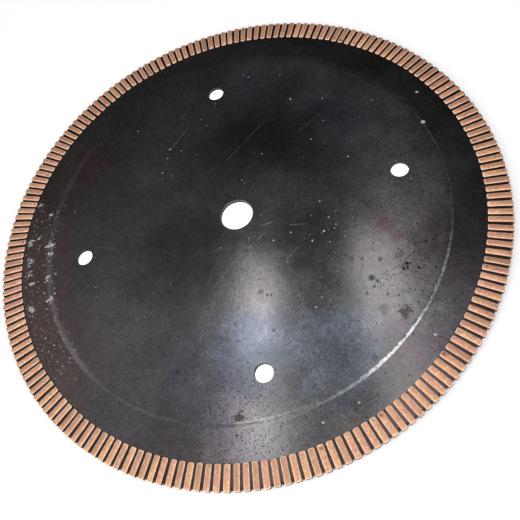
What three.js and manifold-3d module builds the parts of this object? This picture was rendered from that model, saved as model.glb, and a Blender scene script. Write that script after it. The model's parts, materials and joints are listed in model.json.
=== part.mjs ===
// Diamond saw blade with a ribbed rim: a steel core and the bars of diamond bond that straddle its edge.
// Millimetres. The blade's axis is Z, and the origin is the arbor hole's centre at mid thickness.

import * as THREE from "three";
import { mergeVertices } from "three/addons/utils/BufferGeometryUtils.js";
import Module from "manifold-3d";

const wasm = await Module();
wasm.setup();

// Driving dimensions.
const BLADE_DIAMETER = 400;
const ARBOR_DIAMETER = 25.4;
const PIN_HOLE_DIAMETER = 13.4;
const PIN_CIRCLE_DIAMETER = 255.6;
const PIN_HOLES = 4;

// The core is thicker inside the shoulder, where the saw's flanges clamp it, than out by the rim.
const CENTRE_THICKNESS = 3.0;
const OUTER_THICKNESS = 2.4;
const SHOULDER_DIAMETER = 319;
const SHOULDER_RUN = 2.0;

// The rim: bars of bond, in short arcs of a few bars each.
const RIM_THICKNESS = 4.0;
const BARS = 190;
const BARS_PER_SEGMENT = 5;
const BAR_LENGTH = 16.8;
const BAR_WIDTH = 4.3;
const BAR_CORNER = 0.9;
const WEB_SETBACK = 1.0; // from the bars' outer ends in to the web between them
const WEB_LENGTH = 1.4; // along the radius
const SEAT_CLEARANCE = 0.08; // between the core's faces and edge and the bond
const SEGMENT_GAP = 0.3; // between one segment's web and the next

// How finely round outlines are stepped.
const CORE_STEPS = 120;
const ARBOR_STEPS = 48;
const PIN_HOLE_STEPS = 24;

// Worked out from the driving dimensions.
const BLADE_RADIUS = BLADE_DIAMETER / 2;
const SHOULDER_RADIUS = SHOULDER_DIAMETER / 2;
const PIN_CIRCLE_RADIUS = PIN_CIRCLE_DIAMETER / 2;
const BAR_INNER_RADIUS = BLADE_RADIUS - BAR_LENGTH;
const WEB_OUTER_RADIUS = BLADE_RADIUS - WEB_SETBACK;
const WEB_INNER_RADIUS = WEB_OUTER_RADIUS - WEB_LENGTH;
const CORE_RADIUS = WEB_INNER_RADIUS - SEAT_CLEARANCE;
const BAR_PITCH = (2 * Math.PI) / BARS;
const SEGMENTS = BARS / BARS_PER_SEGMENT;
const SEGMENT_PITCH = (2 * Math.PI) / SEGMENTS;
const SEAT_HALF_THICKNESS = OUTER_THICKNESS / 2 + SEAT_CLEARANCE;
const CUT_DEPTH = 2 * RIM_THICKNESS; // longer than the core is thick, so that a cut goes right through

function steelFinish() {
  return new THREE.MeshStandardMaterial({
    color: 0x2b2b2e,
    roughness: 0.42,
    metalness: 0.85,
  });
}

function bondFinish() {
  return new THREE.MeshStandardMaterial({
    color: 0xb98562,
    roughness: 0.55,
    metalness: 0.7,
  });
}

// A closed three.js geometry as a solid that can be joined and cut.
function solidFrom(geometry) {
  const bare = geometry.clone();
  bare.deleteAttribute("normal");
  bare.deleteAttribute("uv");
  const merged = mergeVertices(bare, 1e-4);
  return new wasm.Manifold(
    new wasm.Mesh({
      numProp: 3,
      vertProperties: merged.attributes.position.array,
      triVerts: new Uint32Array(merged.index.array),
    }),
  );
}

function geometryFrom(solid) {
  const mesh = solid.getMesh();
  const geometry = new THREE.BufferGeometry();
  geometry.setAttribute(
    "position",
    new THREE.BufferAttribute(mesh.vertProperties, 3),
  );
  geometry.setIndex(new THREE.BufferAttribute(mesh.triVerts, 1));
  geometry.computeVertexNormals();
  return geometry;
}

// A cylinder along Z for cutting a round hole through the core.
function holeCutter(diameter, steps, x, y) {
  const cutter = new THREE.CylinderGeometry(
    diameter / 2,
    diameter / 2,
    CUT_DEPTH,
    steps,
  );
  cutter.rotateX(Math.PI / 2);
  cutter.translate(x, y, 0);
  return solidFrom(cutter);
}

// Half of the core's section, from the axis out to the edge, turned about Z.
function coreBlank() {
  const centre = CENTRE_THICKNESS / 2;
  const outer = OUTER_THICKNESS / 2;
  const shoulderTop = SHOULDER_RADIUS - SHOULDER_RUN / 2;
  const shoulderFoot = SHOULDER_RADIUS + SHOULDER_RUN / 2;
  const section = [
    new THREE.Vector2(0, -centre),
    new THREE.Vector2(shoulderTop, -centre),
    new THREE.Vector2(shoulderFoot, -outer),
    new THREE.Vector2(CORE_RADIUS, -outer),
    new THREE.Vector2(CORE_RADIUS, outer),
    new THREE.Vector2(shoulderFoot, outer),
    new THREE.Vector2(shoulderTop, centre),
    new THREE.Vector2(0, centre),
  ];
  const blank = new THREE.LatheGeometry(section, CORE_STEPS);
  blank.rotateX(Math.PI / 2);
  return solidFrom(blank);
}

function steelCore() {
  let core = coreBlank();
  core = core.subtract(holeCutter(ARBOR_DIAMETER, ARBOR_STEPS, 0, 0));
  for (let i = 0; i < PIN_HOLES; i++) {
    const angle = (i * 2 * Math.PI) / PIN_HOLES;
    const x = PIN_CIRCLE_RADIUS * Math.cos(angle);
    const y = PIN_CIRCLE_RADIUS * Math.sin(angle);
    core = core.subtract(holeCutter(PIN_HOLE_DIAMETER, PIN_HOLE_STEPS, x, y));
  }
  const mesh = new THREE.Mesh(geometryFrom(core), steelFinish());
  mesh.name = "steel_core";
  return mesh;
}

// One bar's outline seen along Z, lying along +X, with its inner corners cut off.
function barOutline() {
  const half = BAR_WIDTH / 2;
  const outline = new THREE.Shape();
  outline.moveTo(BAR_INNER_RADIUS, -half + BAR_CORNER);
  outline.lineTo(BAR_INNER_RADIUS + BAR_CORNER, -half);
  outline.lineTo(BLADE_RADIUS, -half);
  outline.lineTo(BLADE_RADIUS, half);
  outline.lineTo(BAR_INNER_RADIUS + BAR_CORNER, half);
  outline.lineTo(BAR_INNER_RADIUS, half - BAR_CORNER);
  outline.closePath();
  return outline;
}

// The slot that lets a bar sit over the core's edge.
function seatCutter() {
  const inner = BAR_INNER_RADIUS - BAR_CORNER;
  const length = WEB_INNER_RADIUS - inner;
  const slot = new THREE.BoxGeometry(length, 2 * BAR_WIDTH, 2 * SEAT_HALF_THICKNESS);
  slot.translate(inner + length / 2, 0, 0);
  return solidFrom(slot);
}

// One saddle-shaped bar on +X: a leg on each face of the core, joined past the core's edge.
function saddleBar() {
  const block = new THREE.ExtrudeGeometry(barOutline(), {
    depth: RIM_THICKNESS,
    bevelEnabled: false,
  });
  block.translate(0, 0, -RIM_THICKNESS / 2);
  return solidFrom(block).subtract(seatCutter());
}

// The web of bond that joins a segment's bars around the core's edge, centred on +X.
function segmentWeb() {
  const halfArc = SEGMENT_PITCH / 2 - SEGMENT_GAP / 2 / WEB_OUTER_RADIUS;
  const steps = BARS_PER_SEGMENT;
  const outline = new THREE.Shape();
  for (let i = 0; i <= steps; i++) {
    const angle = -halfArc + (2 * halfArc * i) / steps;
    const x = WEB_OUTER_RADIUS * Math.cos(angle);
    const y = WEB_OUTER_RADIUS * Math.sin(angle);
    if (i === 0) outline.moveTo(x, y);
    else outline.lineTo(x, y);
  }
  for (let i = steps; i >= 0; i--) {
    const angle = -halfArc + (2 * halfArc * i) / steps;
    outline.lineTo(WEB_INNER_RADIUS * Math.cos(angle), WEB_INNER_RADIUS * Math.sin(angle));
  }
  outline.closePath();
  const web = new THREE.ExtrudeGeometry(outline, {
    depth: 2 * SEAT_HALF_THICKNESS,
    bevelEnabled: false,
  });
  web.translate(0, 0, -SEAT_HALF_THICKNESS);
  return solidFrom(web);
}

// One rim segment on +X, which every segment is a turned copy of.
function segmentGeometry() {
  const bar = saddleBar();
  let segment = segmentWeb();
  for (let i = 0; i < BARS_PER_SEGMENT; i++) {
    const turn = (i - (BARS_PER_SEGMENT - 1) / 2) * BAR_PITCH;
    segment = segment.add(bar.rotate([0, 0, THREE.MathUtils.radToDeg(turn)]));
  }
  return geometryFrom(segment);
}

function rimSegments() {
  const geometry = segmentGeometry();
  const rim = new THREE.Group();
  for (let i = 0; i < SEGMENTS; i++) {
    const segment = new THREE.Mesh(geometry, bondFinish());
    segment.name = `rim_segment_${String(i + 1).padStart(2, "0")}`;
    segment.rotation.z = i * SEGMENT_PITCH;
    rim.add(segment);
  }
  return rim;
}

const blade = new THREE.Group();
blade.add(steelCore());
blade.add(rimSegments());

export default blade;
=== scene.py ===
import json
import math
import random
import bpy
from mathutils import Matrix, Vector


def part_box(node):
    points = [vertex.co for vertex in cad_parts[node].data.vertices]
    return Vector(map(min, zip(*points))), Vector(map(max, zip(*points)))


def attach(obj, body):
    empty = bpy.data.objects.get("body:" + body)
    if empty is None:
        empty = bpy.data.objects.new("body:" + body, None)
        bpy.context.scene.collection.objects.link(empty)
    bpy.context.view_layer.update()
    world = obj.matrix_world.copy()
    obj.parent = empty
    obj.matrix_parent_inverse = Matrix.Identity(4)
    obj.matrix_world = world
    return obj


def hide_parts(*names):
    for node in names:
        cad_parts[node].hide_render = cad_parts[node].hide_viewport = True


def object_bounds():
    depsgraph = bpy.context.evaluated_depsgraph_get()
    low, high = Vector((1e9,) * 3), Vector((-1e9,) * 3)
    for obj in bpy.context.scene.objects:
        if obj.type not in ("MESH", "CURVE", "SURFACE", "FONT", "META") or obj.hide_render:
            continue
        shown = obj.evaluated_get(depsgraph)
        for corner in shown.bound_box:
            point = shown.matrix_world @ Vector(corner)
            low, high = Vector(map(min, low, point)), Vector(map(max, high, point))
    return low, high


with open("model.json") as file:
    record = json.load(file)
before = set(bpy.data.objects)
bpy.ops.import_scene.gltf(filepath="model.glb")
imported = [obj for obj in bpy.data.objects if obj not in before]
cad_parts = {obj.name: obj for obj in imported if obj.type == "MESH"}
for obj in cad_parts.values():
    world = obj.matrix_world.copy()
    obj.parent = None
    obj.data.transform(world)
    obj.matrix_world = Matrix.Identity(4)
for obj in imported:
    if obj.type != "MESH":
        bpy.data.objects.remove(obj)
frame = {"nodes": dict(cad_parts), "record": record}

from types import SimpleNamespace

import bmesh
import bpy
import numpy as np
from mathutils import Matrix, Vector

# A diamond saw blade lying on a pale floor: a blackened steel core, with ribs of copper-coloured bond
# round its edge. Everything is in metres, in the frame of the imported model: Z is the blade's axis.

MM = 0.001
CAD_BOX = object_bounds()

# ---------------------------------------------------------------- sizes read from the frame

BARS_PER_SEGMENT = 5
SEGMENTS = sorted(name for name in frame["nodes"] if name.startswith("rim_segment_"))
BARS = BARS_PER_SEGMENT * len(SEGMENTS)
BAR_PITCH = 2 * math.pi / BARS
SEGMENT_PITCH = 2 * math.pi / len(SEGMENTS)

# Two heights on the core count as the same within this.
SAME_HEIGHT = 0.01 * MM


def core_sizes():
    """Radii and half thicknesses of the steel core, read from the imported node's own vertices."""
    points = np.array([v.co for v in frame["nodes"]["steel_core"].data.vertices])
    radius = np.hypot(points[:, 0], points[:, 1])
    height = np.abs(points[:, 2])
    centre = height.max()
    edge = height[radius > radius.max() - MM].max()
    return {
        "arbor": radius.min(),
        "edge": radius.max(),
        "centre_half": centre,
        "edge_half": edge,
        "shoulder_top": radius[height > centre - SAME_HEIGHT].max(),
        "shoulder_foot": radius[height < edge + SAME_HEIGHT].min(),
    }


CORE = core_sizes()
RIM_LOW, RIM_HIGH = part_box(SEGMENTS[0])
RIM_HALF = RIM_HIGH.z
RIM_RADIUS = CAD_BOX[1][0]
BAR_INNER = RIM_LOW.x
PIN_BOXES = [opening["box_m"] for opening in frame["record"]["physics"]["openings"][1:]]
PIN_HOLES = [(Vector(low) + Vector(high)) / 2 for low, high in PIN_BOXES]

# Sizes that the frame doesn't state.
PIN_RADIUS = 6.7 * MM
BAR_WIDTH = 4.3 * MM
SEAT_CLEARANCE = 0.08 * MM
WEB_SETBACK = 1.0 * MM
SEGMENT_GAP = 0.3 * MM


# ---------------------------------------------------------------- shader helpers

class Graph:
    """A node tree, built by short calls. An argument is a socket, a number or a tuple."""

    def __init__(self, tree, output):
        self.tree = tree
        self.tree.nodes.clear()
        self.output = self.tree.nodes.new(output)

    @classmethod
    def material(cls, name):
        """The graph of a new material, which it keeps as made."""
        made = bpy.data.materials.new(name)
        made.use_nodes = True
        graph = cls(made.node_tree, "ShaderNodeOutputMaterial")
        graph.made = made
        return graph

    @classmethod
    def around(cls, tree):
        """The graph of a world's node tree."""
        return cls(tree, "ShaderNodeOutputWorld")

    def set(self, socket, value):
        if isinstance(value, bpy.types.NodeSocket):
            self.tree.links.new(value, socket)
        else:
            socket.default_value = value

    def node(self, kind, inputs=(), **settings):
        made = self.tree.nodes.new(kind)
        for key, value in settings.items():
            setattr(made, key, value)
        for key, value in dict(inputs).items():
            self.set(made.inputs[key], value)
        return made

    def math(self, operation, a, b=0.0):
        return self.node("ShaderNodeMath", {0: a, 1: b}, operation=operation).outputs[0]

    def vector(self, operation, a, b=(0, 0, 0)):
        made = self.node("ShaderNodeVectorMath", {0: a, 1: b}, operation=operation)
        gives_number = operation in ("LENGTH", "DISTANCE", "DOT_PRODUCT")
        return made.outputs["Value" if gives_number else "Vector"]

    def step(self, value, low, high, to_low=0.0, to_high=1.0):
        """Goes smoothly from to_low to to_high as value goes from low to high. low may be above high."""
        made = self.node(
            "ShaderNodeMapRange",
            {"Value": value, "From Min": low, "From Max": high, "To Min": to_low, "To Max": to_high},
            interpolation_type="SMOOTHSTEP",
        )
        return made.outputs["Result"]

    def noise(self, vector, scale, detail, roughness=0.5):
        made = self.node(
            "ShaderNodeTexNoise",
            {"Vector": vector, "Scale": scale, "Detail": detail, "Roughness": roughness},
        )
        return made.outputs["Fac"]

    def mix(self, factor, a, b, blend="MIX"):
        """The colour a, going to b as factor goes to 1."""
        made = self.node("ShaderNodeMix", {"Factor": factor}, data_type="RGBA", blend_type=blend)
        self.set(made.inputs[6], a)
        self.set(made.inputs[7], b)
        return made.outputs[2]

    def blend(self, factor, a, b):
        """The number a, going to b as factor goes to 1."""
        made = self.node("ShaderNodeMix", {"Factor": factor}, data_type="FLOAT")
        self.set(made.inputs[2], a)
        self.set(made.inputs[3], b)
        return made.outputs[0]

    def principled(self, **inputs):
        shader = self.node("ShaderNodeBsdfPrincipled", inputs)
        self.tree.links.new(shader.outputs[0], self.output.inputs["Surface"])


def most(g, *masks):
    """The highest of several masks."""
    top = masks[0]
    for mask in masks[1:]:
        top = g.math("MAXIMUM", top, mask)
    return top


def times(g, *factors):
    """The product of several numbers."""
    product = factors[0]
    for factor in factors[1:]:
        product = g.math("MULTIPLY", product, factor)
    return product


def centred(g, noise):
    """A noise, shifted so that it goes equally far above and below nothing."""
    return g.math("SUBTRACT", noise, 0.5)


def outside(g, mask):
    """Where a mask isn't."""
    return g.math("SUBTRACT", 1.0, mask)


def varied(g, value, noise, weight):
    """value made higher and lower by a noise."""
    return times(g, value, g.math("ADD", 1.0, g.math("MULTIPLY", centred(g, noise), weight)))


def tinted(g, factor, colour, tint):
    """colour multiplied by tint, as far as factor says."""
    return g.mix(factor, colour, (*tint, 1), "MULTIPLY")


def dots(g, vector, scale, density, size):
    """Round spots of random size, mostly small, one in each of some cells.

    density is the share of cells with one, and size is the largest radius, in cells.
    """
    mostly_small, soft_edge = 1.6, 0.12
    cell = g.node("ShaderNodeTexVoronoi", {"Vector": vector, "Scale": scale}, feature="F1")
    split = g.node("ShaderNodeSeparateColor", {"Color": cell.outputs["Color"]})
    here = g.math("LESS_THAN", split.outputs[0], density)
    radius = times(g, g.math("POWER", split.outputs[1], mostly_small), size)
    edge = g.math("SUBTRACT", radius, cell.outputs["Distance"])
    return times(g, here, g.step(edge, 0.0, soft_edge * size))


def place(centre):
    """A point given as (x, y) in shares of the rim's radius."""
    return Vector((*centre, 0)) * RIM_RADIUS


def blob(g, flat, centre, radius, noise, ragged=0.5):
    """A soft patch with a ragged outline. centre and radius are in shares of the rim's radius."""
    away = g.vector("DISTANCE", flat, tuple(place(centre)))
    stray = times(g, centred(g, noise), 2 * ragged * radius * RIM_RADIUS)
    away = g.math("ADD", away, stray)
    return g.step(away, radius * RIM_RADIUS, 0.35 * radius * RIM_RADIUS)


def stains(g, flat, places, noise):
    """The patches of a list of (centre, radius, raggedness, strength)."""
    patches = []
    for centre, radius, ragged, strength in places:
        patches.append(times(g, blob(g, flat, centre, radius, noise, ragged), strength))
    return most(g, *patches)


def arc(g, heading, degrees, half, soft):
    """The part of a turn within half of an angle, in degrees, fading over soft. heading is a unit vector."""
    towards = (math.cos(math.radians(degrees)), math.sin(math.radians(degrees)), 0)
    facing = g.vector("DOT_PRODUCT", heading, towards)
    return g.step(facing, math.cos(math.radians(half + soft)), math.cos(math.radians(half)))


# ---------------------------------------------------------------- camera, light and floor

# What the camera looks at, how far off it is, and its angles in degrees.
CAMERA_AIM = Vector((17.3, -31.5, 0)) * MM
CAMERA_DISTANCE = 0.4552
CAMERA_AZIMUTH, CAMERA_ELEVATION, CAMERA_ROLL = 14.51, 59.21, -27.76
LENS = 42.30
LENS_SHIFT = (-0.010, -0.030)

# The tubes on the ceiling, as (x, width, radiance, spin in degrees), and the colour of their light.
TUBES = [(-0.237, 0.10, 9.5, -9), (0.142, 0.125, 7.2, -3)]
TUBE_MIDDLE, TUBE_LENGTH, CEILING = 0.28, 0.62, 1.2
TUBE_COLOUR = (1.0, 0.98, 1.0)

# The square soft boxes, as (name, position, side).
SOFT_BOXES = [("key", (1.1, -1.7, 1.5), 1.4), ("fill", (-2.0, -0.9, 1.1), 1.2)]
SOFT_RADIANCE = 5.5

# The room's light: low down and overhead, the way to its brightest part, and the cosines of the
# angles from there at which it is dimmest and brightest.
ROOM_COLOUR = (0.97, 0.98, 1.0, 1)
ROOM_DIM, ROOM_BRIGHT = 0.19, 1.25
ROOM_TOP = Vector((-0.35, -0.30, 1.0))
ROOM_COSINES = (0.47, 0.93)

# The floor, and how much it glows in the open and under the blade.
FLOOR_HALF = 4.0
FLOOR_COLOUR = (0.66, 0.652, 0.656, 1)
GLOW_COLOUR = (1, 0.988, 0.995, 1)
GLOW_OPEN, GLOW_UNDER_BLADE = 0.18, 0.80


def new_object(name, data):
    """An object of the scene, made of a mesh, a lamp or a camera."""
    made = bpy.data.objects.new(name, data)
    bpy.context.scene.collection.objects.link(made)
    return made


def place_camera():
    """Puts the camera above the near edge, a little to the right, and rolled."""
    azimuth, elevation = math.radians(CAMERA_AZIMUTH), math.radians(CAMERA_ELEVATION)
    data = bpy.data.cameras.new("camera")
    data.lens = LENS
    data.shift_x, data.shift_y = LENS_SHIFT
    data.clip_start = 10 * MM
    camera = new_object("camera", data)
    back = Vector((
        math.sin(azimuth) * math.cos(elevation),
        -math.cos(azimuth) * math.cos(elevation),
        math.sin(elevation),
    ))
    turn = back.to_track_quat("Z", "Y").to_matrix() @ Matrix.Rotation(math.radians(CAMERA_ROLL), 3, "Z")
    camera.matrix_world = Matrix.Translation(CAMERA_AIM + back * CAMERA_DISTANCE) @ turn.to_4x4()
    bpy.context.scene.camera = camera


def area_light(name, position, target, size, radiance, colour=(1, 1, 1), spin=0):
    """A soft rectangular lamp facing target, turned by spin degrees. radiance is how bright it looks."""
    data = bpy.data.lights.new(name, "AREA")
    data.shape = "RECTANGLE"
    data.size, data.size_y = size
    data.energy = radiance * math.pi * size[0] * size[1]
    data.color = colour
    lamp = new_object(name, data)
    lamp.location = position
    facing = (Vector(position) - Vector(target)).to_track_quat("Z", "Y").to_matrix()
    lamp.rotation_euler = (facing @ Matrix.Rotation(math.radians(spin), 3, "Z")).to_euler()


def place_lights():
    """Two rows of tubes on the ceiling, and soft boxes behind and beside the camera."""
    for x, width, level, spin in TUBES:
        above, below = (x, TUBE_MIDDLE, CEILING), (x, TUBE_MIDDLE, 0)
        area_light("tube", above, below, (width, TUBE_LENGTH), level, TUBE_COLOUR, spin)
    for name, position, side in SOFT_BOXES:
        area_light(name, position, (0, 0, 0), (side, side), SOFT_RADIANCE)


def light_world():
    """A room with a pale ceiling overhead and darker walls."""
    world = bpy.data.worlds.new("room")
    bpy.context.scene.world = world
    world.use_nodes = True
    g = Graph.around(world.node_tree)
    direction = g.node("ShaderNodeTexCoord").outputs["Generated"]
    height = g.vector("DOT_PRODUCT", direction, tuple(ROOM_TOP.normalized()))
    glow = g.step(height, *ROOM_COSINES, ROOM_DIM, ROOM_BRIGHT)
    background = g.node("ShaderNodeBackground", {"Color": ROOM_COLOUR, "Strength": glow})
    g.tree.links.new(background.outputs[0], g.output.inputs["Surface"])


def build_floor():
    """A plain floor. It glows a little, and more under the blade, so that it stays pale in the holes."""
    mesh = bpy.data.meshes.new("floor")
    half, bottom = FLOOR_HALF, CAD_BOX[0][2]
    corners = [(-half, -half, bottom), (half, -half, bottom), (half, half, bottom), (-half, half, bottom)]
    mesh.from_pydata(corners, [], [(0, 1, 2, 3)])
    floor = new_object("floor", mesh)
    g = Graph.material("floor_white")
    away = g.vector("LENGTH", g.node("ShaderNodeTexCoord").outputs["Object"])
    glow = g.step(away, 0.88 * RIM_RADIUS, 0.78 * RIM_RADIUS, GLOW_OPEN, GLOW_UNDER_BLADE)
    g.principled(**{
        "Base Color": FLOOR_COLOUR,
        "Roughness": 0.7,
        "Specular IOR Level": 0.2,
        "Emission Color": GLOW_COLOUR,
        "Emission Strength": glow,
    })
    mesh.materials.append(g.made)


# ---------------------------------------------------------------- the steel core's finish

# Colours of the core.
OXIDE = (0.056, 0.055, 0.057, 1)
OXIDE_BROWNER = (0.064, 0.061, 0.061, 1)
OXIDE_THIN = (0.082, 0.080, 0.081, 1)
BARE_STEEL_AND_HIGHLIGHT = (0.68, 0.68, 0.69, 1)
FLAKED_OXIDE = (0.29, 0.29, 0.27, 1)
SCRATCHED_OXIDE = (0.26, 0.25, 0.25, 1)
WORN_LIP = (0.13, 0.13, 0.13, 1)
# Darker and browner in the grooves between the bars and in a thin ring just inside their inner ends.
GROOVE_DARK_BROWN = (0.041, 0.027, 0.025, 1)
PIT_BOTTOM = (0.014, 0.014, 0.015, 1)
WHITE_DUST = (0.44, 0.44, 0.43, 1)
CUT_STEEL = (0.020, 0.019, 0.019, 1)
RUST = (0.020, 0.014, 0.014, 1)
DARK_SPOT = (0.012, 0.012, 0.013, 1)

# What the stains multiply the oxide's colour by.
BROWN_TINT = (1.28, 0.96, 0.92)
BLUE_TINT = (0.86, 1.00, 1.17)
COLD_TINT = (0.86, 0.97, 1.14)
PURPLE_TINT = (1.05, 0.955, 1.03)
RED_TINT = (1.18, 0.86, 0.87)
WINE_TINT = (0.98, 0.74, 0.80)

# In the lists below, a place on the core is (x, y), in shares of the rim's radius, and so are radii
# unless they are said to be in millimetres.

# Broad patches painted lighter (tone over 1) or darker, as (centre, radius, tone): partly uneven oxide,
# partly painted reflection, such as the light patches at +X that carry on a tube's reflection.
TONE_AND_REFLECTION_PATCHES = [
    ((0.55, 0.30), 0.34, 1.85),
    ((0.26, 0.62), 0.30, 2.00),
    ((-0.15, 0.60), 0.26, 1.35),
    ((0.62, 0.51), 0.13, 0.82),
    ((0.60, 0.66), 0.14, 1.25),
    ((-0.32, 0.34), 0.18, 1.25),
    ((0.64, -0.05), 0.25, 1.85),
    ((0.88, 0.02), 0.13, 1.35),
    ((0.26, 0.38), 0.33, 0.55),
    ((0.03, 0.32), 0.18, 0.76),
    ((0.40, 0.16), 0.14, 0.73),
    ((0.16, 0.08), 0.13, 1.30),
    ((-0.22, -0.12), 0.30, 0.64),
    ((-0.45, -0.25), 0.26, 1.25),
    ((-0.05, -0.42), 0.20, 1.25),
    ((0.00, -0.20), 0.10, 1.25),
    ((0.26, -0.20), 0.22, 0.60),
    ((0.27, -0.46), 0.14, 0.78),
    ((0.03, -0.68), 0.17, 0.71),
    ((0.25, -0.61), 0.22, 1.50),
    ((0.40, -0.73), 0.23, 0.66),
    ((0.70, -0.50), 0.16, 1.50),
    ((-0.14, -0.80), 0.16, 1.20),
    ((-0.36, -0.78), 0.16, 0.82),
    ((-0.75, 0.40), 0.22, 0.85),
    ((0.74, 0.06), 0.09, 0.82),
    ((0.54, -0.06), 0.10, 1.15),
    ((0.60, -0.30), 0.08, 1.15),
    ((0.30, 0.74), 0.07, 0.80),
    ((-0.55, -0.45), 0.14, 1.10),
    ((0.10, -0.45), 0.08, 0.88),
]

# Stains, as (centre, radius, raggedness, strength): heat tints, and rust.
BLUE_STAINS = [
    ((-0.02, -0.56), 0.17, 0.9, 1.0),
    ((0.20, -0.64), 0.28, 0.8, 0.8),
    ((-0.22, -0.56), 0.20, 0.8, 0.5),
]
COLD_STAINS = [
    ((0.42, 0.30), 0.22, 0.9, 0.6),
    ((0.10, 0.55), 0.20, 0.9, 0.6),
]
PURPLE_STAINS = [
    ((0.70, -0.36), 0.26, 0.8, 1.0),
    ((0.55, -0.70), 0.18, 0.8, 0.8),
    ((-0.30, -0.78), 0.30, 0.8, 0.7),
]
RED_STAINS = [
    ((-0.57, 0.47), 0.15, 0.5, 0.9),
    ((0.15, 0.79), 0.06, 0.5, 0.5),
    ((0.22, 0.51), 0.10, 0.5, 0.6),
    ((0.57, 0.55), 0.12, 0.5, 0.5),
]
WINE_STAINS = [
    ((0.535, -0.215), 0.040, 1.8, 1.0),
    ((0.555, -0.275), 0.030, 1.8, 0.7),
]
RUST_STAINS = [
    ((-0.105, -0.765), 0.022, 1.8, 0.85),
    ((0.505, -0.55), 0.026, 1.5, 0.85),
]

# Dark spots in the oxide, as (centre, radius in millimetres, strength).
SPOTS = [
    ((0.430, -0.400), 2.4, 0.90),
    ((0.445, -0.418), 1.3, 0.85),
    ((0.430, -0.435), 1.5, 0.85),
    ((0.475, -0.340), 1.6, 0.75),
    ((0.415, -0.320), 1.6, 0.55),
    ((0.380, -0.310), 2.2, 0.45),
    ((0.400, -0.450), 1.2, 0.60),
    ((0.550, -0.390), 3.4, 0.50),
    ((0.545, -0.340), 3.0, 0.45),
    ((0.600, -0.310), 2.6, 0.45),
    ((0.440, -0.520), 4.0, 0.35),
    ((0.370, -0.675), 2.4, 0.45),
    ((-0.300, -0.560), 2.4, 0.45),
    ((0.060, -0.500), 1.4, 0.60),
    ((0.040, -0.345), 1.8, 0.50),
    ((0.040, -0.295), 1.3, 0.50),
    ((0.015, -0.168), 1.1, 0.80),
]

# A spot fades out this many of its radii from its centre.
SPOT_SPREAD = 1.35

# Areas with more fine pits than the rest, as (centre, radius).
PITTED = [
    ((0.71, -0.35), 0.16),
    ((-0.12, -0.80), 0.22),
    ((-0.45, -0.42), 0.30),
    ((0.70, 0.18), 0.18),
]

# Scratches, as (start, end, strength).
SCRATCHES = [
    ((-0.18, 0.545), (-0.12, 0.605), 1.10),
    ((-0.235, 0.405), (-0.14, 0.50), 1.60),
    ((-0.03, 0.245), (0.215, 0.435), 0.60),
    ((0.30, 0.30), (0.415, 0.37), 0.65),
    ((-0.60, 0.035), (-0.50, 0.00), 0.35),
    ((0.015, -0.165), (0.105, -0.105), 0.75),
    ((0.07, -0.08), (0.14, -0.075), 0.75),
    ((0.185, -0.105), (0.26, -0.125), 0.65),
    ((0.12, -0.27), (0.21, -0.205), 0.35),
    ((-0.145, -0.295), (-0.03, -0.19), 0.30),
    ((-0.23, -0.128), (0.02, -0.138), 0.15),
]

# Bright chips, as (centre, radius in millimetres).
CHIPS = [
    ((0.78, 0.18), 2.0),
    ((0.80, 0.33), 1.5),
    ((0.31, 0.485), 0.9),
    ((-0.37, 0.56), 0.7),
    ((-0.25, 0.365), 0.7),
    ((-0.28, 0.30), 0.6),
    ((-0.24, 0.27), 0.6),
    ((-0.235, 0.41), 0.9),
    ((0.35, 0.25), 0.8),
    ((0.145, 0.25), 0.6),
    ((0.045, 0.15), 0.6),
    ((0.47, 0.12), 0.7),
    ((0.12, -0.155), 0.8),
    ((0.19, -0.14), 0.7),
    ((0.34, -0.12), 0.7),
    ((0.31, -0.172), 0.9),
    ((0.155, -0.257), 0.6),
    ((0.22, -0.455), 0.7),
    ((0.575, -0.65), 1.2),
    ((0.285, -0.805), 0.9),
    ((0.16, -0.84), 1.0),
]

# Patches of flaked oxide on the outer band, as (centre, radius).
FLAKES = [
    ((-0.880, 0.140), 0.034),
    ((-0.840, 0.155), 0.022),
    ((-0.790, 0.100), 0.046),
    ((-0.790, 0.060), 0.034),
    ((-0.880, 0.050), 0.038),
    ((-0.880, -0.010), 0.034),
    ((-0.870, -0.055), 0.024),
    ((-0.800, -0.050), 0.032),
    ((-0.760, -0.035), 0.020),
    ((-0.870, -0.165), 0.042),
    ((-0.790, -0.145), 0.036),
    ((-0.840, 0.320), 0.026),
    ((-0.790, 0.250), 0.022),
]

# Where the shoulder's worn band carries a painted highlight, as (middle, half width, softness, brightness),
# with angles in degrees, and how bright it is everywhere else.
SHOULDER_HIGHLIGHT_ARCS = [
    (-54, 3, 11, 1.0),
    (-66, 8, 12, 0.16),
    (-38, 8, 14, 0.42),
    (-91, 2, 7, 0.30),
    (-82, 8, 8, 0.10),
    (-15, 22, 22, 0.17),
]
SHOULDER_LEAST = 0.04

# The wider and fainter smears along the shoulder, in the same way.
SHOULDER_SMEARS = [
    (178, 32, 14, 0.115),
    (-89, 2, 11, 0.09),
]

# The trail of dust runs along Y, and is this share of its length wide.
TRAIL_SQUEEZE = 0.16

# How far the ragged coordinates lie from the true ones on average, and the uneven ones at most.
RAGGED_MEAN = Vector((0.8, 0.8, 0)) * MM
UNEVEN_REACH = Vector((0.5, 0.5, 0)) * MM


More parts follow.
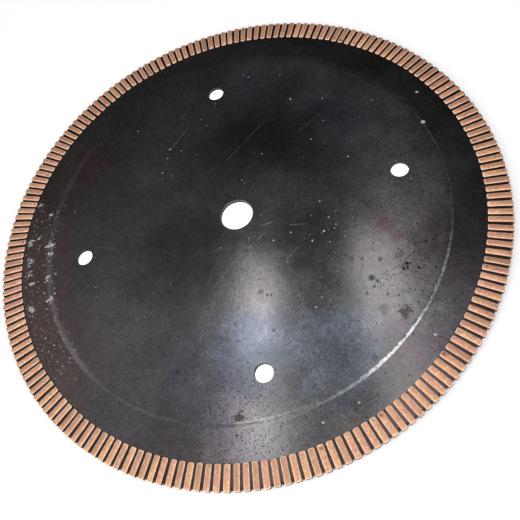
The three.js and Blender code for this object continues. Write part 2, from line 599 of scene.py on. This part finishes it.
def core_places(g):
    """Coordinates on the core, and noises over it from broad to fine.

    On the underside X and Y are exchanged, so that its marks don't lie under those of the top.
    """
    coordinates = g.node("ShaderNodeTexCoord")
    normal = g.node("ShaderNodeSeparateXYZ", {0: coordinates.outputs["Normal"]})
    axes = g.node("ShaderNodeSeparateXYZ", {0: coordinates.outputs["Object"]})
    x, y, z = axes.outputs
    below = g.math("LESS_THAN", z, 0.0)
    place_y = g.blend(below, y, x)
    point = g.node("ShaderNodeCombineXYZ", {0: g.blend(below, x, y), 1: place_y, 2: z}).outputs[0]
    flat = g.vector("MULTIPLY", point, (1, 1, 0))
    stray = g.node("ShaderNodeTexNoise", {"Vector": point, "Scale": 900, "Detail": 2}).outputs["Color"]
    return SimpleNamespace(
        point=point,
        flat=flat,
        y=place_y,
        lean=g.math("ABSOLUTE", normal.outputs[2]),
        heading=g.vector("NORMALIZE", flat),
        radius=g.vector("LENGTH", flat),
        broad=g.noise(point, 14, 3),
        cloud=g.noise(point, 60, 4, 0.6),
        mottle=g.noise(point, 260, 3, 0.6),
        speckle=g.noise(point, 560, 2, 0.6),
        grain=g.noise(point, 1100, 2, 0.7),
        ragged=g.vector("ADD", flat, g.vector("MULTIPLY", stray, tuple(2 * RAGGED_MEAN))),
        uneven=g.vector("ADD", flat, g.vector("MULTIPLY", stray, tuple(UNEVEN_REACH))),
    )


def oxide_colour(g, at):
    """The oxide itself: nearly black, browner near the rim at -X, with broad patches that are partly uneven
    oxide and partly painted reflection, and painted shade on the outer band towards +X.
    """
    oxide = g.mix(g.step(at.broad, 0.35, 0.65), OXIDE, OXIDE_BROWNER)
    oxide = g.mix(times(g, g.step(at.cloud, 0.45, 0.75), 0.4), oxide, OXIDE_THIN)
    tone = varied(g, 1.0, at.grain, 1.25)
    tone = varied(g, tone, at.mottle, 0.7)
    tone = varied(g, tone, at.speckle, 0.45)
    # Painted reflection and uneven oxide, in broad lighter and darker patches.
    for centre, size, level in TONE_AND_REFLECTION_PATCHES:
        tone = times(g, tone, g.blend(blob(g, at.flat, centre, size, at.broad), 1.0, level))
    # Painted shade: the core outside the shoulder is darkened towards +X.
    foot = CORE["shoulder_foot"]
    band = times(g, g.step(at.radius, foot - 7 * MM, foot + MM), arc(g, at.heading, 20, 50, 18))
    tone = times(g, tone, g.blend(band, 1.0, 0.62))
    toned = g.node("ShaderNodeCombineXYZ", {0: tone, 1: tone, 2: tone}).outputs[0]
    oxide = g.mix(1.0, oxide, toned, "MULTIPLY")
    outer = g.step(at.radius, 0.60 * RIM_RADIUS, 0.82 * RIM_RADIUS)
    return tinted(g, times(g, outer, arc(g, at.heading, 182, 24, 26)), oxide, BROWN_TINT)


def stained(g, at, colour):
    """colour with heat tints, rust stains and the larger dark spots."""
    blue = times(g, stains(g, at.flat, BLUE_STAINS, at.broad), g.step(at.cloud, 0.25, 0.65, 0.6, 1.0))
    colour = tinted(g, blue, colour, BLUE_TINT)
    colour = tinted(g, stains(g, at.flat, COLD_STAINS, at.broad), colour, COLD_TINT)
    colour = tinted(g, stains(g, at.flat, PURPLE_STAINS, at.broad), colour, PURPLE_TINT)
    colour = tinted(g, stains(g, at.flat, RED_STAINS, at.cloud), colour, RED_TINT)
    colour = tinted(g, stains(g, at.flat, WINE_STAINS, at.cloud), colour, WINE_TINT)
    colour = g.mix(stains(g, at.flat, RUST_STAINS, at.mottle), colour, RUST)
    spots = [(centre, SPOT_SPREAD * size * MM / RIM_RADIUS, 0.6, level) for centre, size, level in SPOTS]
    return g.mix(stains(g, at.flat, spots, at.mottle), colour, DARK_SPOT)


def pit_mask(g, at):
    """Corrosion pits: close where PITTED says and inside the shoulder at +X, few on the far half."""
    pitted = most(g, *[blob(g, at.flat, centre, size, at.broad, 0.8) for centre, size in PITTED])
    near = g.step(at.y, 20 * MM, -60 * MM)
    patchy = g.step(g.noise(at.flat, 55, 2), 0.40, 0.62, 0.15, 1.0)
    worn = times(
        g,
        arc(g, at.heading, 2, 38, 14),
        g.step(at.radius, 0.58 * RIM_RADIUS, 0.68 * RIM_RADIUS),
        g.step(at.radius, 0.80 * RIM_RADIUS, 0.78 * RIM_RADIUS),
    )
    close = most(g, pitted, worn)
    return most(
        g,
        times(g, dots(g, at.flat, 1150, 0.70, 0.50), close, 0.65),
        times(g, dots(g, at.flat, 620, 0.20, 0.36), g.blend(close, times(g, near, 0.6), 0.9)),
        times(g, dots(g, at.flat, 380, 0.62, 0.42), worn, 0.9),
        times(g, dots(g, at.uneven, 330, 0.08, 0.28), near, patchy),
        times(g, dots(g, at.uneven, 140, 0.10, 0.15), near, pitted),
    )


def dust_mask(g, at):
    """White dust: a trail of specks across the near right, a few elsewhere, and the larger chips."""
    squeezed = g.vector("MULTIPLY", at.flat, (1, TRAIL_SQUEEZE, 0))
    trail = most(
        g,
        blob(g, squeezed, (0.305, -0.17 * TRAIL_SQUEEZE), 0.06, at.cloud),
        blob(g, at.flat, (0.33, -0.16), 0.13, at.cloud, 0.8),
        times(g, blob(g, at.flat, (0.24, -0.42), 0.10, at.cloud, 0.8), 0.8),
    )
    specks = most(g, dots(g, at.flat, 700, 0.14, 0.38), dots(g, at.ragged, 360, 0.09, 0.26))
    inside = g.step(at.radius, 0.80 * RIM_RADIUS, 0.70 * RIM_RADIUS)
    scattered = times(g, g.step(g.noise(at.flat, 40, 2), 0.48, 0.60), inside)
    dust = most(g, times(g, specks, trail), times(g, dots(g, at.flat, 480, 0.05, 0.28), scattered, 0.75))
    for centre, size in CHIPS:
        away = g.vector("DISTANCE", at.ragged, tuple(place(centre) + RAGGED_MEAN))
        dust = most(g, dust, times(g, g.step(away, size * MM, 0.5 * size * MM), 0.78))
    return dust


def flake_mask(g, at):
    """Flaked oxide on the outer band, towards -X: close in the patches of FLAKES, and thin between them."""
    where = times(
        g,
        arc(g, at.heading, 186, 24, 10),
        g.step(at.radius, 0.750 * RIM_RADIUS, 0.78 * RIM_RADIUS),
        g.step(at.radius, 0.918 * RIM_RADIUS, 0.895 * RIM_RADIUS),
    )
    close = times(g, where, 0.12)
    for centre, size in FLAKES:
        away = g.vector("DISTANCE", at.flat, tuple(place(centre)))
        close = most(g, close, times(g, g.step(away, size * RIM_RADIUS, 0.0), 0.42))
    crumbs = g.math("ADD", g.noise(at.flat, 420, 4, 0.7), times(g, close, 0.5))
    return times(g, g.step(crumbs, 0.665, 0.70), where)


def scratch_mask(g, at):
    """Thin straight scratches, faded by a noise."""
    lines = []
    for start, end, strength in SCRATCHES:
        a, b = place(start), place(end)
        length = (b - a).length
        along = (b - a).normalized()
        across = Vector((-along.y, along.x, 0))
        offset = g.vector("SUBTRACT", at.flat, tuple((a + b) / 2))
        side = g.math("ABSOLUTE", g.vector("DOT_PRODUCT", offset, tuple(across)))
        run = g.math("ABSOLUTE", g.vector("DOT_PRODUCT", offset, tuple(along)))
        width, ends = g.step(side, 0.45 * MM, 0.15 * MM), g.step(run, length / 2, length / 3)
        lines.append(times(g, width, ends, strength))
    return times(g, most(g, *lines), g.step(at.mottle, 0.3, 0.6, 0.3, 1.0))


def shoulder_wear_and_highlight(g, at):
    """Bare steel worn through the oxide on the shoulder, with a painted highlight on it: brightest towards
    the near right, and faint elsewhere.
    """
    top, foot = CORE["shoulder_top"], CORE["shoulder_foot"]
    inner = g.math("ADD", at.radius, times(g, centred(g, at.mottle), 2.5 * MM))
    line = times(
        g,
        g.step(inner, top - 0.2 * MM, top + 0.6 * MM),
        g.step(at.radius, foot + 0.1 * MM, foot - 0.2 * MM),
    )
    wide = times(
        g,
        g.step(inner, top - 2.5 * MM, top + 1.0 * MM),
        g.step(at.radius, foot + 1.5 * MM, foot - 0.5 * MM),
    )
    arcs = [times(g, arc(g, at.heading, *span), level) for *span, level in SHOULDER_HIGHLIGHT_ARCS]
    smears = [times(g, arc(g, at.heading, *span), level) for *span, level in SHOULDER_SMEARS]
    sparkle = times(g, g.step(at.speckle, 0.34, 0.58, 0.45, 1.0), g.step(at.mottle, 0.30, 0.60, 0.65, 1.0))
    return most(g, times(g, line, most(g, *arcs, SHOULDER_LEAST), sparkle), times(g, wide, most(g, *smears)))


def core_masks(g, at):
    """Where each kind of wear, dirt and cut surface is, and where the shoulder carries a painted highlight.
    """
    lip = g.step(at.radius, CORE["arbor"] + 0.75 * MM, CORE["arbor"] + 0.55 * MM)
    broken_edge = times(g, g.step(at.lean, 0.97, 0.93), outside(g, lip))
    return SimpleNamespace(
        pits=pit_mask(g, at),
        dust=dust_mask(g, at),
        flakes=flake_mask(g, at),
        rubbed_and_highlight=shoulder_wear_and_highlight(g, at),
        scratches=scratch_mask(g, at),
        lip=lip,
        wall=most(g, g.step(at.lean, 0.45, 0.35), broken_edge),
        groove=g.step(at.radius, BAR_INNER - 0.4 * MM, BAR_INNER + 0.6 * MM),
    )


def core_colour(g, at, seen):
    """The stained oxide with everything that lies on it or is worn through it, and the painted highlight on
    the shoulder.
    """
    colour = stained(g, at, oxide_colour(g, at))
    # Painted highlight: bare steel on the shoulder's worn band, brightest towards the near right.
    colour = g.mix(seen.rubbed_and_highlight, colour, BARE_STEEL_AND_HIGHLIGHT)
    colour = g.mix(seen.flakes, colour, FLAKED_OXIDE)
    colour = g.mix(seen.scratches, colour, SCRATCHED_OXIDE)
    colour = g.mix(times(g, seen.lip, 0.8), colour, WORN_LIP)
    # The grooves and a thin ring inside the bars' inner ends are coloured darker and browner.
    colour = g.mix(seen.groove, colour, GROOVE_DARK_BROWN)
    colour = g.mix(times(g, seen.pits, 0.8), colour, PIT_BOTTOM)
    colour = g.mix(seen.dust, colour, WHITE_DUST)
    return g.mix(seen.wall, colour, CUT_STEEL)


def core_roughness(g, at, seen):
    """Smooth oxide, duller where the shoulder is worn and dull where it is pitted, dusty or cut."""
    rough = g.blend(g.step(at.cloud, 0.3, 0.7), 0.15, 0.19)
    rough = g.math("ADD", rough, times(g, centred(g, at.grain), 0.25))
    rough = g.blend(most(g, seen.rubbed_and_highlight, seen.lip), rough, 0.42)
    rough = g.blend(seen.groove, rough, 0.22)
    return g.blend(most(g, seen.pits, seen.dust, seen.flakes, seen.wall), rough, 0.85)


def core_bump(g, at, seen):
    """Grain, pits and flakes, on a plate that isn't quite flat."""
    height = g.math("ADD", times(g, at.grain, 0.030), times(g, at.mottle, 0.030))
    height = g.math("SUBTRACT", height, times(g, seen.pits, 0.10))
    height = g.math("ADD", height, times(g, most(g, seen.dust, seen.flakes), 0.05))
    fine = g.node("ShaderNodeBump", {"Height": height, "Strength": 0.5, "Distance": MM}).outputs[0]
    waves = {"Height": g.noise(at.point, 9, 1), "Strength": 0.3, "Distance": MM, "Normal": fine}
    return g.node("ShaderNodeBump", waves).outputs[0]


def steel_finish():
    """Black oxide on ground steel: mottled, pitted, dusty, scuffed and worn along the shoulder, with a
    painted highlight there, painted reflection in broad patches and painted shade on the outer band.
    """
    g = Graph.material("black_oxide_steel")
    at = core_places(g)
    seen = core_masks(g, at)
    g.principled(**{
        "Base Color": core_colour(g, at, seen),
        "Metallic": outside(g, most(g, seen.dust, seen.flakes, seen.wall)),
        "Roughness": core_roughness(g, at, seen),
        "Normal": core_bump(g, at, seen),
    })
    return g.made


# ---------------------------------------------------------------- the bond's finish

# Colours of the bars' ground faces: from bar to bar, and of what lies in patches over them.
COPPER = (0.585, 0.288, 0.198, 1)
BRONZE = (0.615, 0.355, 0.188, 1)
COPPER_BLOTCH = (0.62, 0.290, 0.205, 1)
BRASS_SMEAR = (0.80, 0.53, 0.26, 1)
BROWN_FLECK = (0.38, 0.20, 0.125, 1)
DULL_COPPER = (0.37, 0.195, 0.120, 1)
DARK_GRIT = (0.30, 0.14, 0.08, 1)
BURNT_SPLASH = (0.22, 0.09, 0.06, 1)

# The painted highlight on the edges, and the colours of what isn't ground; the end walls' colour holds
# painted shade.
EDGE_HIGHLIGHT = (0.94, 0.71, 0.53, 1)
SIDE_WALL = (0.090, 0.018, 0.011, 1)
# Painted shade: the outer end walls' own brown, darkened.
END_WALL_AND_SHADE = (0.070, 0.042, 0.028, 1)
WEB_FACE = (0.052, 0.032, 0.029, 1)
WEB_END = (0.16, 0.10, 0.075, 1)

# The bars on the far side are a little redder, and those towards -X pinker.
FAR_SIDE = (0.64, 0.77, 0)
FAR_TINT = (0.985, 0.915, 0.905)
PINK_TINT = (1.01, 0.955, 0.99)


def bond_places(g):
    """Coordinates on the rim, three random numbers for each bar, and noises from broad to fine.

    The random numbers also shift the noises, so that no two bars have the same blotches.
    """
    coordinates = g.node("ShaderNodeTexCoord")
    point = coordinates.outputs["Object"]
    normal = g.node("ShaderNodeSeparateXYZ", {0: coordinates.outputs["Normal"]})
    axes = g.node("ShaderNodeSeparateXYZ", {0: point})
    x, y, z = axes.outputs
    flat = g.vector("MULTIPLY", point, (1, 1, 0))
    radius = g.vector("LENGTH", flat)
    angle = g.math("ARCTAN2", y, x)
    bar = g.math("ROUND", g.math("DIVIDE", angle, BAR_PITCH))
    turned = g.math("SUBTRACT", angle, times(g, bar, BAR_PITCH))
    number = g.node("ShaderNodeCombineXYZ", {0: bar, 1: g.math("SIGN", z)}).outputs[0]
    lot = g.node("ShaderNodeTexWhiteNoise", {"Vector": number}).outputs["Color"]
    dice = g.node("ShaderNodeSeparateColor", {"Color": lot})
    shifted = g.vector("ADD", point, g.vector("MULTIPLY", lot, (0.5, 0.5, 0.5)))
    return SimpleNamespace(
        height=g.math("ABSOLUTE", z),
        lean=g.math("ABSOLUTE", normal.outputs[2]),
        heading=g.vector("NORMALIZE", flat),
        radius=radius,
        across=g.math("ABSOLUTE", times(g, radius, g.math("SINE", turned))),
        dice=dice.outputs,
        blotch=g.noise(shifted, 240, 3, 0.6),
        smear=g.noise(shifted, 480, 2, 0.6),
        fleck=g.noise(shifted, 800, 2, 0.6),
        grit=g.noise(point, 1900, 2, 0.7),
    )


def bar_colour(g, at):
    """A bar's ground face: its own shade between copper and bronze, blotched, smeared and speckled."""
    colour = g.mix(g.step(at.dice[0], 0.1, 0.9), COPPER, BRONZE)
    colour = g.mix(times(g, g.step(at.blotch, 0.42, 0.60), 0.8), colour, COPPER_BLOTCH)
    colour = g.mix(times(g, g.step(at.smear, 0.50, 0.66), 0.85), colour, BRASS_SMEAR)
    colour = g.mix(times(g, g.step(at.fleck, 0.50, 0.64), 0.55), colour, BROWN_FLECK)
    colour = g.mix(times(g, g.step(at.dice[1], 0.5, 1.0), 0.6), colour, DULL_COPPER)
    colour = g.mix(times(g, g.step(at.grit, 0.48, 0.66), 0.8), colour, DARK_GRIT)
    far = g.step(g.vector("DOT_PRODUCT", at.heading, FAR_SIDE), -0.5, 0.5)
    colour = tinted(g, far, colour, FAR_TINT)
    colour = tinted(g, arc(g, at.heading, 155, 20, 30), colour, PINK_TINT)
    inner_end = g.step(at.radius, BAR_INNER + 5 * MM, BAR_INNER + 2.5 * MM)
    splashes = times(
        g,
        g.step(at.blotch, 0.54, 0.62),
        g.step(at.dice[2], 0.5, 0.7),
        g.math("ADD", times(g, inner_end, 0.7), 0.25),
    )
    return g.mix(splashes, colour, BURNT_SPLASH)


def edge_highlight_mask(g, at):
    """Where the painted highlight lies: the bars' rounded edges, and a patchy border beside them."""
    border = most(
        g,
        g.step(at.across, BAR_WIDTH / 2 - 0.75 * MM, BAR_WIDTH / 2 - 0.50 * MM),
        g.step(at.radius, BAR_INNER + 1.0 * MM, BAR_INNER + 0.75 * MM),
        g.step(at.radius, RIM_RADIUS - 0.9 * MM, RIM_RADIUS - 0.6 * MM),
    )
    patchy = g.step(at.smear, 0.35, 0.55, 0.15, 0.65)
    return most(g, g.step(at.lean, 0.995, 0.93), times(g, border, patchy))


def bond_masks(g, at):
    """Where the walls and the web between the bars are. dark is what no grinding has reached."""
    wall = g.step(at.lean, 0.30, 0.12)
    outer_end = g.step(at.radius, RIM_RADIUS - 0.9 * MM, RIM_RADIUS - 0.3 * MM)
    web = times(
        g,
        g.step(at.height, CORE["edge_half"] + 0.25 * MM, CORE["edge_half"] + 0.12 * MM),
        g.step(at.radius, RIM_RADIUS - 0.7 * MM, RIM_RADIUS - 0.9 * MM),
    )
    web_radius = RIM_RADIUS - WEB_SETBACK
    web_end = times(g, web, g.step(at.radius, web_radius - 0.2 * MM, web_radius - 0.1 * MM))
    side_wall = times(g, wall, outside(g, outer_end))
    dark = times(g, most(g, web, side_wall), outside(g, web_end))
    return SimpleNamespace(wall=wall, outer_end=outer_end, web=web, web_end=web_end, dark=dark)


def bond_colour(g, at, seen):
    """The bars' faces with a painted highlight along their edges, and the darker walls and web, with painted
    shade on the outer end walls.
    """
    # Painted highlight along the bars' edges.
    colour = g.mix(times(g, edge_highlight_mask(g, at), 0.85), bar_colour(g, at), EDGE_HIGHLIGHT)
    # Painted shade on the outer end walls, over their own brown.
    colour = g.mix(seen.wall, colour, g.mix(seen.outer_end, SIDE_WALL, END_WALL_AND_SHADE))
    colour = g.mix(seen.web, colour, WEB_FACE)
    return g.mix(seen.web_end, colour, WEB_END)


def bond_finish():
    """Sintered copper-bronze bond: ground faces, a painted highlight on the edges, and dark walls that were
    never ground, with painted shade on the outer ends.
    """
    g = Graph.material("copper_bond")
    at = bond_places(g)
    seen = bond_masks(g, at)
    rough = g.math("ADD", 0.40, times(g, at.grit, 0.25))
    rough = g.blend(seen.dark, rough, 0.8)
    height = g.math("ADD", times(g, at.grit, 0.5), at.smear)
    bump = g.node("ShaderNodeBump", {"Height": height, "Strength": 0.35, "Distance": 0.2 * MM})
    g.principled(**{
        "Base Color": bond_colour(g, at, seen),
        "Metallic": g.blend(seen.web_end, g.blend(seen.dark, 0.70, 1.0), 0.0),
        "Roughness": g.blend(seen.web, rough, 0.45),
        "Normal": bump.outputs[0],
    })
    return g.made


# ---------------------------------------------------------------- meshes

# Points that a cut leaves nearer to each other than this become one.
SLIVER = 0.002 * MM

# Steps round the core and a pin hole, and along a segment's web and the seat cut under its bars.
CORE_STEPS, PIN_STEPS, WEB_STEPS, SEAT_STEPS = 320, 64, 20, 24

# Faces that meet at more than these angles, in degrees, have a crisp edge between them.
CORE_CREASE, BAR_CREASE = 20, 40

# Steps round a bar's corner and along its side.
CORNER_STEPS, SIDE_STEPS = 4, 7

# Each segment's random numbers start from this seed plus its own number.
FIRST_SEED = 1000


def mesh_from(name, build):
    """A mesh made by build(bm) in a bmesh."""
    bm = bmesh.new()
    build(bm)
    bmesh.ops.recalc_face_normals(bm, faces=bm.faces)
    mesh = bpy.data.meshes.new(name)
    bm.to_mesh(mesh)
    bm.free()
    return mesh


def merge_slivers(mesh):
    """Merges the points that a cut leaves almost on top of each other."""
    bm = bmesh.new()
    bm.from_mesh(mesh)
    bmesh.ops.remove_doubles(bm, verts=bm.verts, dist=SLIVER)
    bmesh.ops.dissolve_degenerate(bm, dist=SLIVER, edges=bm.edges)
    bm.to_mesh(mesh)
    bm.free()


def carve(target, cutters, operation):
    """Joins target with each cutter in turn, or cuts it by them. The cutters are used up."""
    for cutter in cutters:
        modifier = target.modifiers.new("carve", "BOOLEAN")
        modifier.operation = operation
        modifier.solver = "MANIFOLD"
        modifier.object = cutter
    graph = bpy.context.evaluated_depsgraph_get()
    mesh = bpy.data.meshes.new_from_object(target.evaluated_get(graph))
    merge_slivers(mesh)
    target.modifiers.clear()
    old = target.data
    target.data = mesh
    bpy.data.meshes.remove(old)
    for cutter in cutters:
        data = cutter.data
        bpy.data.objects.remove(cutter)
        bpy.data.meshes.remove(data)


def lathe(bm, profile, steps):
    """A ring with profile's (radius, height) points turned about Z. A point on the axis is one vertex."""
    turn = [2 * math.pi * i / steps for i in range(steps)]
    rings = []
    for r, z in profile:
        if r == 0:
            rings.append([bm.verts.new((0, 0, z))] * steps)
        else:
            rings.append([bm.verts.new((r * math.cos(a), r * math.sin(a), z)) for a in turn])
    hollow = profile[0][0] != 0
    following = rings[1:] + rings[:1] if hollow else rings[1:]
    for inner, outer in zip(rings, following):
        for j in range(steps):
            k = (j + 1) % steps
            corners = [inner[j], inner[k], outer[k], outer[j]]
            bm.faces.new(list(dict.fromkeys(corners)))


def mirrored(profile):
    """The upper half of a section, followed by its lower half."""
    return profile + [(r, -z) for r, z in reversed(profile)]


def shade(made, degrees, finish):
    """Smooth faces, with edges sharper than degrees left crisp, all in one finish."""
    made.data.shade_smooth()
    made.data.set_sharp_from_angle(angle=math.radians(degrees))
    made.data.materials.clear()
    made.data.materials.append(finish)


# ---------------------------------------------------------------- the steel core

def core_profile():
    """The upper half of the core's section, from the arbor hole out to the edge."""
    chamfer, support, dip = 0.25 * MM, 0.7 * MM, 0.01 * MM
    arbor, rim = CORE["arbor"], CORE["edge"]
    centre, edge = CORE["centre_half"], CORE["edge_half"]
    top, foot = CORE["shoulder_top"], CORE["shoulder_foot"]
    return [
        (arbor, centre - chamfer),
        (arbor + chamfer, centre),
        (arbor + chamfer + support, centre),
        (top - support, centre),
        (top, centre - dip),
        ((top + foot) / 2, (centre + edge) / 2),
        (foot, edge + dip),
        (foot + support, edge),
        (rim - support, edge),
        (rim - chamfer / 2, edge),
        (rim, edge - chamfer / 2),
    ]


def pin_cutter(centre):
    """A drill with flared ends, which leaves a broken edge on both faces."""
    break_edge, past = 0.12 * MM, 1.0 * MM
    face = CORE["centre_half"]
    profile = [
        (0, -face - past),
        (PIN_RADIUS + break_edge + past, -face - past),
        (PIN_RADIUS, -face + break_edge),
        (PIN_RADIUS, face - break_edge),
        (PIN_RADIUS + break_edge + past, face + past),
        (0, face + past),
    ]
    mesh = mesh_from("pin_cutter", lambda bm: lathe(bm, profile, PIN_STEPS))
    mesh.transform(Matrix.Translation((centre.x, centre.y, 0)))
    return new_object("pin_cutter", mesh)


def build_core():
    """The disc with its arbor hole and shoulder, drilled for the pins."""
    mesh = mesh_from("core_disc", lambda bm: lathe(bm, mirrored(core_profile()), CORE_STEPS))
    core = new_object("core_disc", mesh)
    carve(core, [pin_cutter(centre) for centre in PIN_HOLES], "DIFFERENCE")
    shade(core, CORE_CREASE, steel_finish())
    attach(core, "root")
    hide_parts("steel_core")


# ---------------------------------------------------------------- the rim

def bar_outline(dice):
    """One bar's outline seen along Z, as (point, outward normal), with round corners and wavy sides."""
    inner = BAR_INNER + dice.uniform(0, 0.25) * MM
    outer = RIM_RADIUS - dice.uniform(0.02, 0.25) * MM
    half = BAR_WIDTH / 2 + dice.uniform(-0.10, 0.06) * MM
    corner_in, corner_out = dice.uniform(0.8, 1.1) * MM, dice.uniform(0.6, 1.0) * MM
    corners = [
        (outer - corner_out, half - corner_out, corner_out),
        (inner + corner_in, half - corner_in, corner_in),
        (inner + corner_in, -half + corner_in, corner_in),
        (outer - corner_out, -half + corner_out, corner_out),
    ]
    outline = []
    for quarter, (x, y, r) in enumerate(corners):
        for i in range(CORNER_STEPS + 1):
            a = math.pi / 2 * (quarter + i / CORNER_STEPS)
            normal = Vector((math.cos(a), math.sin(a), 0))
            outline.append((Vector((x, y, 0)) + normal * r, normal))
        if quarter in (0, 2):
            next_x, next_y, next_r = corners[quarter + 1]
            start = outline[-1][0]
            end = Vector((next_x, next_y + next_r if quarter == 0 else next_y - next_r, 0))
            for i in range(1, SIDE_STEPS):
                wave = dice.uniform(-0.06, 0.05) * MM
                outline.append((start.lerp(end, i / SIDE_STEPS) + normal * wave, normal))
    return outline


def add_bar(bm, dice, angle):
    """One bar right through the rim's thickness, with its edges broken, at an angle about the axis."""
    edge = dice.uniform(0.28, 0.42) * MM
    outline = bar_outline(dice)
    levels = mirrored([(edge, RIM_HALF), (0.3 * edge, RIM_HALF - 0.3 * edge), (0, RIM_HALF - edge)])
    lean = Matrix.Rotation(math.radians(dice.gauss(0, 0.15)), 4, "Z")
    shift = dice.gauss(0, 0.13) * MM
    middle = (BAR_INNER + RIM_RADIUS) / 2
    position = (
        Matrix.Rotation(angle, 4, "Z")
        @ Matrix.Translation((middle, shift, 0))
        @ lean
        @ Matrix.Translation((-middle, 0, 0))
    )
    rings = []
    for inset, z in levels:
        ring = [position @ Vector((*(point - normal * inset).xy, z)) for point, normal in outline]
        rings.append([bm.verts.new(point) for point in ring])
    for upper, lower in zip(rings, rings[1:]):
        for i in range(len(upper)):
            j = (i + 1) % len(upper)
            bm.faces.new((upper[i], upper[j], lower[j], lower[i]))
    bm.faces.new(rings[0])
    bm.faces.new(list(reversed(rings[-1])))


def add_arc_slab(bm, radii, half, angles, steps):
    """A flat slab, from -half to half along Z, between two radii and between two angles."""
    inner, outer = radii
    start, end = angles
    turn = [start + (end - start) * i / steps for i in range(steps + 1)]
    outline = [(outer * math.cos(a), outer * math.sin(a)) for a in turn]
    outline += [(inner * math.cos(a), inner * math.sin(a)) for a in reversed(turn)]
    top = [bm.verts.new((x, y, half)) for x, y in outline]
    bottom = [bm.verts.new((x, y, -half)) for x, y in outline]
    bm.faces.new(top)
    bm.faces.new(list(reversed(bottom)))
    for i in range(len(top)):
        j = (i + 1) % len(top)
        bm.faces.new((top[i], bottom[i], bottom[j], top[j]))


def build_segment(name, number, finish):
    """Five saddle bars and the web that joins them round the core's edge."""
    dice = random.Random(FIRST_SEED + number)
    middle = number * SEGMENT_PITCH
    seat_half = CORE["edge_half"] + SEAT_CLEARANCE
    seat_radius = CORE["edge"] + SEAT_CLEARANCE

    def bars(bm):
        for i in range(BARS_PER_SEGMENT):
            add_bar(bm, dice, middle + (i - (BARS_PER_SEGMENT - 1) / 2) * BAR_PITCH)

    def web(bm):
        reach = SEGMENT_PITCH / 2 - SEGMENT_GAP / 2 / RIM_RADIUS
        radii = (seat_radius, RIM_RADIUS - WEB_SETBACK)
        add_arc_slab(bm, radii, seat_half, (middle - reach, middle + reach), WEB_STEPS)

    def seat(bm):
        reach = SEGMENT_PITCH / 2 + math.radians(1)
        radii = (BAR_INNER - MM, seat_radius)
        add_arc_slab(bm, radii, seat_half, (middle - reach, middle + reach), SEAT_STEPS)

    segment = new_object(name, mesh_from(name, bars))
    carve(segment, [new_object("web", mesh_from("web", web))], "UNION")
    carve(segment, [new_object("seat", mesh_from("seat", seat))], "DIFFERENCE")
    shade(segment, BAR_CREASE, finish)
    return segment


def build_rim():
    """The segments, each in the place of one of the frame's."""
    finish = bond_finish()
    for number, node in enumerate(SEGMENTS):
        piece = build_segment(node.replace("rim_segment", "bond_bars"), number, finish)
        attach(piece, "root")
        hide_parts(node)


# ---------------------------------------------------------------- the scene

bpy.context.scene.view_settings.view_transform = "Standard"
place_camera()
place_lights()
light_world()
build_floor()
build_core()
build_rim()
